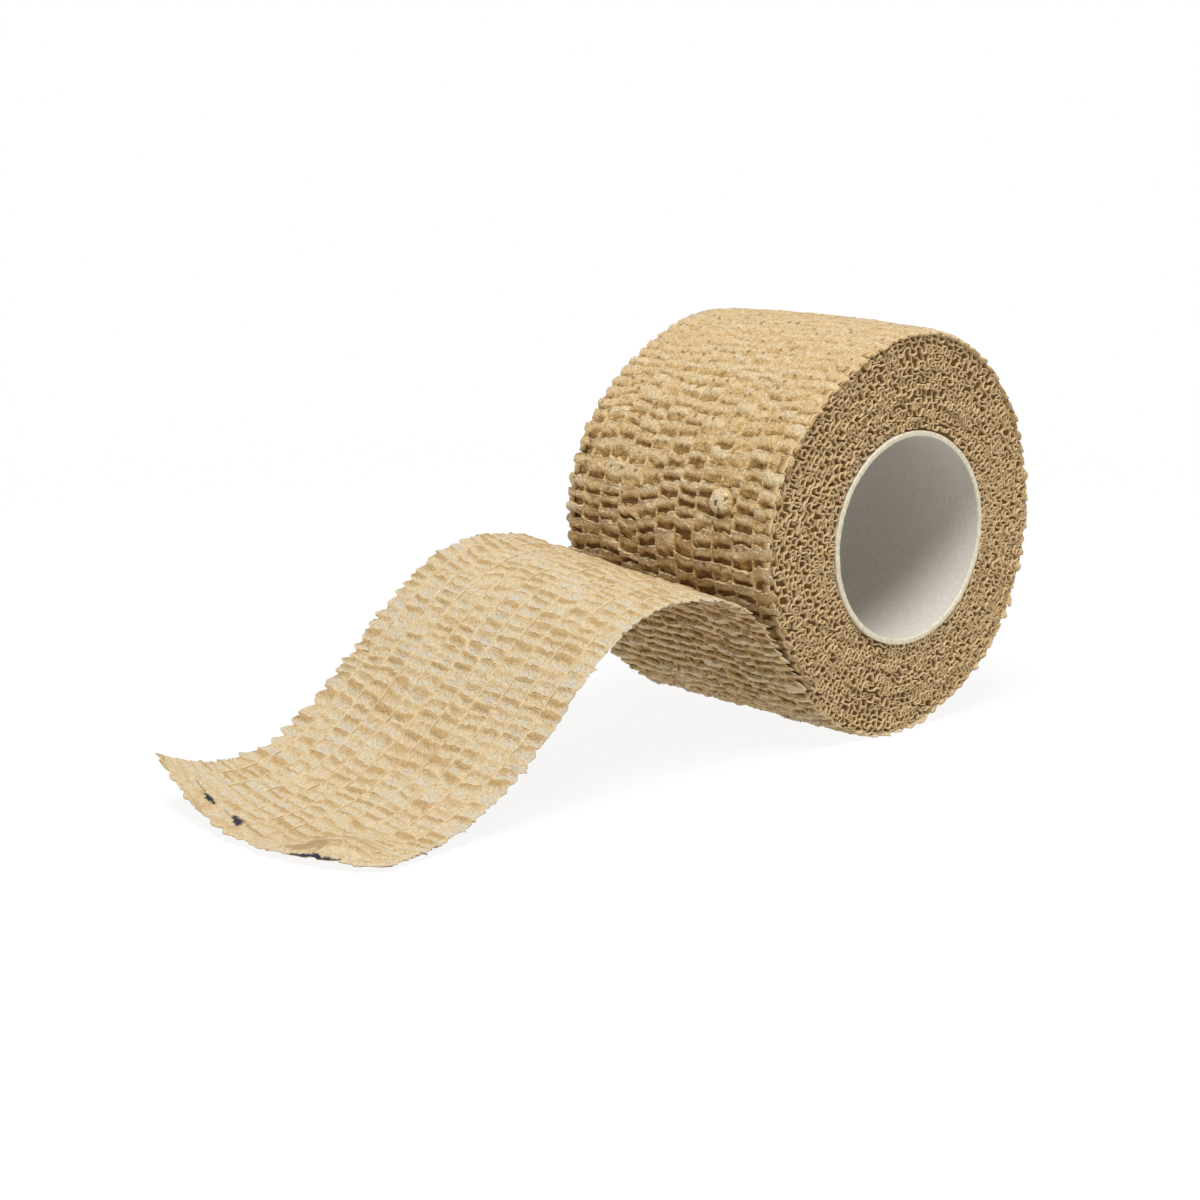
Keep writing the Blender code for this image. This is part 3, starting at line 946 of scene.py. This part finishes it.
peel_angle = np.radians(PEEL_DEG)
peel_radius = ROLL_OUTLINE[0][1] - 0.5
peel_x = peel_radius * np.cos(peel_angle)
peel_z = AXIS_HEIGHT + peel_radius * np.sin(peel_angle)
stations = np.array([(peel_x, peel_z, peel_x, peel_z, 0.0, 1.0), *LOOSE_END])
middle_line = (stations[:, 0:2] + stations[:, 2:4]) / 2
station_at = np.concatenate(
    [[0.0], np.cumsum(np.linalg.norm(np.diff(middle_line, axis=0), axis=1))]
)
LOOSE_LENGTH = station_at[-1]


def near_cut(along, reach):
    """1 at the sheet's cut end, and an S down to 0 at reach before it."""
    return smooth_step((along - (LOOSE_LENGTH - reach)) / reach)


def loose_middle(along, across):
    """The middle of the sheet: both edges are curves through the stations, and it is
    stretched between them. Before the cut the stations are drawn in by END_CUT, and the
    near corner rises in one round buckle."""
    share = across / (STRIP_WIDTH / 2)
    cut_share, cut_short = np.array(END_CUT).T
    short = smooth_curve(share, cut_share, cut_short)
    place = along - short * near_cut(along, CUT_REACH)
    near_x, near_z, far_x, far_z, shift_y, curl = (
        smooth_curve(place, station_at, column) for column in stations.T
    )
    far = np.clip((share + 1) / 2, 0.0, None)
    x = near_x + (far_x - near_x) * far
    z = near_z + (far_z - near_z) * far ** np.maximum(curl, 1.0)
    before_end = LOOSE_LENGTH - short - place
    buckle = hump(share, BUCKLE_WIDTH_SHARE, BUCKLE_BREADTH_SHARE)
    buckle = buckle * hump(before_end, BUCKLE_FROM_END, BUCKLE_LENGTH)
    return together(x, across + shift_y, z + BUCKLE_HEIGHT * buckle)


def loose_frame(along, across):
    """The sheet's middle, and its lengthwise and outward directions, at each point."""
    middle = loose_middle(along, across)
    ahead = loose_middle(along + 0.5, across) - loose_middle(along - 0.5, across)
    sideways = loose_middle(along, across + 0.5) - loose_middle(along, across - 0.5)
    ahead /= np.linalg.norm(ahead, axis=-1, keepdims=True)
    outward = np.cross(ahead, sideways)
    outward /= np.linalg.norm(outward, axis=-1, keepdims=True)
    return middle, ahead, outward


def loose_edges(along, reach, tooth, calm, near, far):
    """How far the sheet reaches across at each point, once its edges are shaped.

    near and far are 1 on those edges. The near edge is ruffled as far as RUFFLED_LENGTH, and
    frayed after FREE_FROM, with a torn tag where a noise is high. The far edge has a round
    lobe for each ridge, each torn a little.
    """
    free = near * smooth_step((along - FREE_FROM) / 10.0)
    tags = np.maximum(soft_noise(along / 0.55, 9.0, 16) - 0.70, 0.0)
    frayed = 0.38 * soft_noise(along / 0.4, 7.0, 16) + 0.35 * soft_noise(along / 1.3, 8.5, 16)
    reach = reach * (1 - 0.85 * free) - (0.20 + frayed + 3.5 * tags) * free
    ruffled = near * smooth_step(along / 3.0) * smooth_step((RUFFLED_LENGTH - along) / 8.0)
    reach = reach - ruffled * RUFFLE_HEIGHT * (tooth**1.5 - 0.45)
    lobe = np.sin(np.pi / 2 * np.clip(tooth / 1.1, 0.0, 1.0)) * (0.55 + 0.5 * tooth)
    torn = (0.62 - 0.36 * calm) * soft_noise(along / 0.42, 3.5, 24)
    torn = torn + 0.22 * soft_noise(along / 3.1, 5.5, 24)
    reach = reach * (1 - 0.6 * far) + far * (LOBE_LENGTH * (lobe - 0.5) * (1 + torn) + torn)
    return reach * (0.5 + 0.5 * calm)


def loose_heights(along, row):
    """The sheet's faces over its middle: (outer, inner, fold, slide, reach).

    The outer face has the crepe's relief, closer than on the roll by GATHER. The inner face
    stands out by INNER_DEPTH where a slit folds the web up, lies level where each thread
    holds it, and is finely uneven. All of it dies down towards the cut end and along the
    free near edge. The sheet thins at its cut end and both edges, to about a third of
    THINNEST at the least.
    """
    gathered = along + GATHER * np.minimum(along, GATHERED_LENGTH)
    rise, slide, reach, tooth, fold = crinkle(gathered, row)
    near, far = at_edge(-row, 1.0), at_edge(row, 1.3)
    calm = 1 - 0.6 * near_cut(along, CALM_LENGTH)
    calm = calm * (1 - 0.45 * near * smooth_step((along - FREE_FROM) / 10.0))
    rise = 0.5 + (rise - 0.5) * calm
    fold = fold * calm
    reach = loose_edges(along, reach, tooth, calm, near, far)
    fold = fold + 0.75 * hump(from_thread(row), 0.0, THREAD_HOLD) * (0.25 - fold)
    bumpy = 0.09 * soft_noise(gathered / 0.9, row / 0.8, 19)
    bumpy = bumpy + 0.05 * soft_noise(along / 0.45, row / 0.5, 20)
    outer = CREPE_DEPTH * rise - MIDDLE_HEIGHT
    inner = INNER_LEVEL + INNER_DEPTH * (0.75 - fold) + bumpy * calm
    at_cut = near_cut(along, 2.5)
    thin = 1 - 0.65 * np.maximum(np.maximum(at_cut, near), far)
    outer = inner + np.maximum(outer - inner, THINNEST) * thin
    return outer, inner, fold, slide * (1 - far) * calm, reach


def loose_sheet():
    """The loose end: an outer face, an inner face behind it, and the four rims between them."""
    columns = int(LOOSE_LENGTH / LOOSE_STEP)
    along = np.linspace(0.0, LOOSE_LENGTH, columns)[:, None]
    row = across_rows()[None, :]
    across = row + wander(along, row)
    outer_height, inner_height, fold, slide, reach = loose_heights(along, row)
    inside = smooth_step(along / 0.8) * smooth_step((LOOSE_LENGTH - along) / 1.2)
    _, ahead, outward = loose_frame(np.clip(along, 0.5, LOOSE_LENGTH - 0.5), across)
    face = loose_middle(along, across)
    ragged_end = 0.5 * soft_noise(across / 0.6, 0.5, 15) + 0.25 * soft_noise(across / 1.7, 4.5, 15)
    face = face + ahead * (ragged_end * near_cut(along, 1.5))[..., None]
    face[..., 1] += reach
    outer = face + outward * outer_height[..., None] + ahead * (slide * inside)[..., None]
    inner = face + outward * inner_height[..., None]
    points = np.concatenate([outer, inner[:, ::-1]], axis=1)
    points[..., 2] = np.maximum(points[..., 2], 0.0)

    # Each column is a ring: the outer face's rows, then the inner face's, back again. The
    # quads round the two edges take the inner material, and each end's cap the outer.
    rows = across.shape[1]
    quads = grid_quads(columns, 2 * rows, closed=True)
    k = np.arange(rows - 1)
    start_cap = np.stack([k, k + 1, 2 * rows - 2 - k, 2 * rows - 1 - k], -1)
    end_cap = (columns - 1) * 2 * rows + start_cap[:, ::-1]
    is_inner = np.arange(2 * rows) >= rows - 1
    slots = np.concatenate([np.tile(is_inner, columns - 1), np.zeros(2 * (rows - 1))])

    # The relief colours the outer face paler on its crests and edges, and the inner face
    # browner on its folds, which is partly painted shade, paler along its near edge, and darker
    # towards the cut. The edges' pallor is painted light, which keeps the thin rims from
    # going dark in the shade under the sheet.
    patch = 0.12 * soft_noise(along / 0.8, row / 0.9, 21)
    patch = patch + 0.16 * soft_noise(along / 4.0, row / 5.0, 22)
    # Partly painted shade: the folds push the inner face's relief down, towards the ramp's tan.
    back = 0.79 - 1.02 * fold + patch - 0.12 * near_cut(along, CALM_LENGTH)
    back = back + 0.16 * at_edge(-row, 4.0)
    front = (outer_height + MIDDLE_HEIGHT) / CREPE_DEPTH
    # Painted light: the edges are paler than their relief, against the shade under the sheet.
    front = np.maximum(front, 0.75 * at_edge(np.abs(row), 0.7))
    both_across = np.concatenate([across, across[:, ::-1]], axis=1)
    return new_piece(
        "loose_end_sheet",
        points.reshape(-1, 3),
        np.concatenate([quads, start_cap, end_cap]),
        [outer_crepe, inner_crepe],
        fields={"relief": np.concatenate([front, back[:, ::-1]], axis=1)},
        maps={
            "strip": together(along, both_across).reshape(-1, 2),
            "OFBake": unit_map(columns, 2 * rows),
        },
        slots=slots,
    )


THREAD_RADIUS = 0.062
THREAD_LEVEL = -0.20
THREAD_END = 7.0
THREAD_MARGIN = 0.6
THREAD_SIDES = 5
THREAD_STEP = 0.35


def rubber_threads():
    """The threads on the sheet's inner face: a thin tube along each."""
    columns = int(LOOSE_LENGTH / THREAD_STEP)
    along = np.linspace(THREAD_MARGIN, LOOSE_LENGTH - THREAD_MARGIN, columns)[:, None]
    row = ((np.arange(THREAD_COUNT) + 1) - (THREAD_COUNT + 1) / 2)[None, :] * THREAD_PITCH
    across = row + wander(along, row) + 0.11 * soft_noise(along / 0.8, row * 3.3 + 0.5, 17)
    middle, ahead, outward = loose_frame(np.clip(along, 0.5, LOOSE_LENGTH - 0.5), across)
    # They run level while the web waves, so they show and hide, and stay in it near the cut.
    buried = smooth_step((along - (LOOSE_LENGTH - THREAD_END)) / 3.0)
    level = THREAD_LEVEL + 0.07 * soft_noise(along / 1.7, row, 18) + 0.16 * buried
    centre = middle + outward * level[..., None]
    centre[..., 2] = np.maximum(centre[..., 2], THREAD_RADIUS)
    sideways = np.cross(outward, ahead)
    turn = (np.arange(THREAD_SIDES) * 2 * np.pi / THREAD_SIDES)[:, None]
    around = sideways[..., None, :] * np.cos(turn) + outward[..., None, :] * np.sin(turn)
    points = centre[..., None, :] + around * THREAD_RADIUS
    quads = grid_quads(columns, THREAD_SIDES, closed=True)[:, ::-1]
    size = columns * THREAD_SIDES
    all_points = np.concatenate([points[:, i].reshape(-1, 3) for i in range(THREAD_COUNT)])
    all_quads = np.concatenate([quads + i * size for i in range(THREAD_COUNT)])
    return new_piece("rubber_threads", all_points, all_quads, [thread_rubber])


# Natural rubber thread with the web's glue and fibres on it: pale cream, dull, a little lumpy.
thread_rubber, thread_tree, thread_shader = new_material("latex_coated_thread", Roughness=0.6)
thread_glue = object_noise(thread_tree, 0.6, 2.0)
thread_paint = colour_ramp(thread_tree, thread_glue, ((0.35, "#D3BD94"), (0.65, "#E4D5B2")))
thread_tree.links.new(thread_paint, thread_shader.inputs["Base Color"])
emboss(thread_tree, thread_glue, 0.5, 0.05)

sheet = loose_sheet()
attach(sheet, "root")
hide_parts("loose_end")
threads = rubber_threads()
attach(threads, "root")


# --- The core tube ----------------------------------------------------------------------
# A short tube of spiral-wound white card, cut to the width of the strip with a blade that
# leaves its rims a little rough. The strip is wound straight on to it.

TUBE_WALL = 0.7
TUBE_SIDES = 288
TUBE_ROWS = 24
LIP_LENGTH = 0.3
TUBE_LIP = (
    # share of the wall from the outside, short of the end
    (0.0, 0.08),
    (0.04, 0.02),
    (0.1, 0.0),
    (0.5, 0.0),
    (0.9, 0.0),
    (0.96, 0.02),
    (1.0, 0.08),
)
RIM_ROUGHNESS = 0.06
OUT_OF_ROUND = 0.06


def card_tube():
    """A tube along Y: its outside, a rounded lip at each end, and its inside."""
    end = STRIP_WIDTH / 2
    straight = np.linspace(-1.0, 1.0, TUBE_ROWS) * (end - LIP_LENGTH)
    wall, short = np.array(TUBE_LIP).T
    inset = np.concatenate([np.zeros(TUBE_ROWS), wall, np.ones(TUBE_ROWS), wall[::-1]])
    places = np.concatenate([straight, end - short, -straight, -(end - short[::-1])])[:, None]
    turn = (np.arange(TUBE_SIDES) * 2 * np.pi / TUBE_SIDES)[None, :]
    at_end = smooth_step((np.abs(places) - (end - 0.35)) / 0.3) * np.sign(places)
    rough = soft_noise(40.0 + 28.0 * np.cos(turn) + 9.0 * at_end, 40.0 + 28.0 * np.sin(turn), 60)
    places = places + at_end * RIM_ROUGHNESS * rough
    radii = (TUBE_RADIUS - inset * TUBE_WALL)[:, None] + OUT_OF_ROUND * np.sin(2 * turn + 0.7)
    points = together(radii * np.cos(turn), places, AXIS_HEIGHT + radii * np.sin(turn))
    quads = grid_quads(len(places), TUBE_SIDES, closed=True, ring=True)
    return new_piece("card_tube", points.reshape(-1, 3), quads, [card])


# Board lined with white paper: pale grey and smooth inside, and creamier on its cut rims.
card, card_tree, card_shader = new_material("white_lined_card", Roughness=0.6)
card_fibre = object_noise(card_tree, 0.5, 4.0)
card_lining = colour_ramp(card_tree, card_fibre, ((0.3, "#C5BFB5"), (0.7, "#D2CDC4")))
card_core = colour_ramp(card_tree, card_fibre, ((0.3, "#CFC5A6"), (0.6, "#E9E0C6")))
card_place = add_node(card_tree, "ShaderNodeTexCoord").outputs["Object"]
card_axes = add_node(card_tree, "ShaderNodeSeparateXYZ", {"Vector": card_place})
card_far = calculate(card_tree, "ABSOLUTE", card_axes.outputs["Y"])
card_rim = remap(
    card_tree, card_far, (STRIP_WIDTH / 2 - 0.30) * MM, (STRIP_WIDTH / 2 - 0.12) * MM
)
card_paint = mix_colours(card_tree, card_rim, card_lining, card_core)
card_tree.links.new(card_paint, card_shader.inputs["Base Color"])
emboss(card_tree, card_fibre, 0.5, 0.05)

tube = card_tube()
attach(tube, "root")
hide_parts("core_tube")
